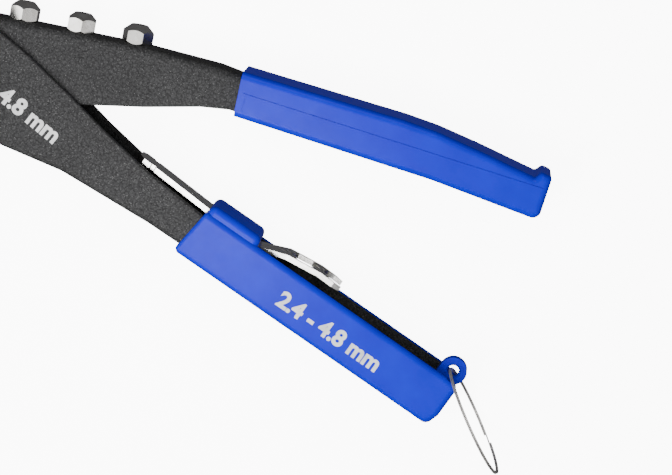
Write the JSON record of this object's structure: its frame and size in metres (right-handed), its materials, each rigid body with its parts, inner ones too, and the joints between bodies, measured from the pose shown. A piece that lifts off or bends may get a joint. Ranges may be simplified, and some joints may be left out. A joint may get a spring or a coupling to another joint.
{
  "type": "hand riveter",
  "caption": "Lever hand riveter with pressed-steel body, blue grips, spare nosepieces stored on the lever, a clip-in wrench and a bail ring.",
  "frame": {"origin": "centre of the fitted nosepiece's front face, in the tool's middle plane", "axes": "-Y out of the nose, towards the work; +X along the fixed handle to its end; +Z the side normal, up as the tool lies on its side"},
  "size_m": [0.2818, 0.1263, 0.0418],
  "materials": {
    "body_coating": "coarse textured powder coat",
    "lever_coating": "coarse textured powder coat",
    "grip_blue": "satin",
    "nickel_plate": "bright nickel",
    "zinc_plate": "zinc plated",
    "spring_steel": "drawn wire",
    "tool_steel": "hardened, oiled",
    "bright_wire": "nickel plated",
    "bright_sheet": "zinc plated sheet"
  },
  "bodies": {
    "body": {"body_frame": "body_coating", "nose_barrel": "nickel_plate", "barrel_rivets": "zinc_plate", "rear_bridge": "zinc_plate", "pivot_bolt": "zinc_plate", "pivot_nut": "zinc_plate", "grip_lower": "grip_blue", "return_spring": "spring_steel", "nosepiece_fitted": "nickel_plate"},
    "lever": {"lever_frame": "lever_coating", "lever_bush": "tool_steel", "grip_upper": "grip_blue", "nosepiece_small": "nickel_plate", "nosepiece_medium": "nickel_plate", "nosepiece_large": "nickel_plate"},
    "puller": {"jaw_case": "tool_steel", "pull_sleeve": "tool_steel", "jaw_spring": "spring_steel"},
    "jaws": {"jaw_1": "tool_steel", "jaw_2": "tool_steel", "jaw_3": "tool_steel", "jaw_pusher": "tool_steel"},
    "ring": {"bail_ring": "bright_wire"},
    "wrench": {"nosepiece_wrench": "bright_sheet"}
  },
  "joints": [
    {"name": "lever_squeeze", "type": "hinge", "parent": "body", "child": "lever", "pos_m": [0.026, 0.042, 0], "axis": [0, 0, -1], "range_deg": [0, 14], "stiffness_Nm_per_rad": 1, "springref_deg": -17.19},
    {"name": "jaw_stroke", "type": "slide", "parent": "body", "child": "puller", "axis": [0, 1, 0], "range_m": [0, 0.00634], "deforming": ["return_spring"]},
    {"name": "jaw_opening", "type": "slide", "parent": "puller", "child": "jaws", "axis": [0, 1, 0], "range_m": [0, 0.0012], "stiffness_N_per_m": 800, "springref_m": -0.002, "deforming": ["jaw_spring"]},
    {"name": "ring_swing", "type": "hinge", "parent": "body", "child": "ring", "pos_m": [0.2366, 0.0494, 0], "axis": [0, 0, 1], "range_deg": [-12, 45]},
    {"name": "wrench_slide", "type": "slide", "parent": "body", "child": "wrench", "axis": [0.9984, -0.0558, 0], "range_m": [0, 0.035]}
  ],
  "couplings": [
    {"joint": "jaw_stroke", "follows": "lever_squeeze", "m_per_rad": 0.025935}
  ]
}
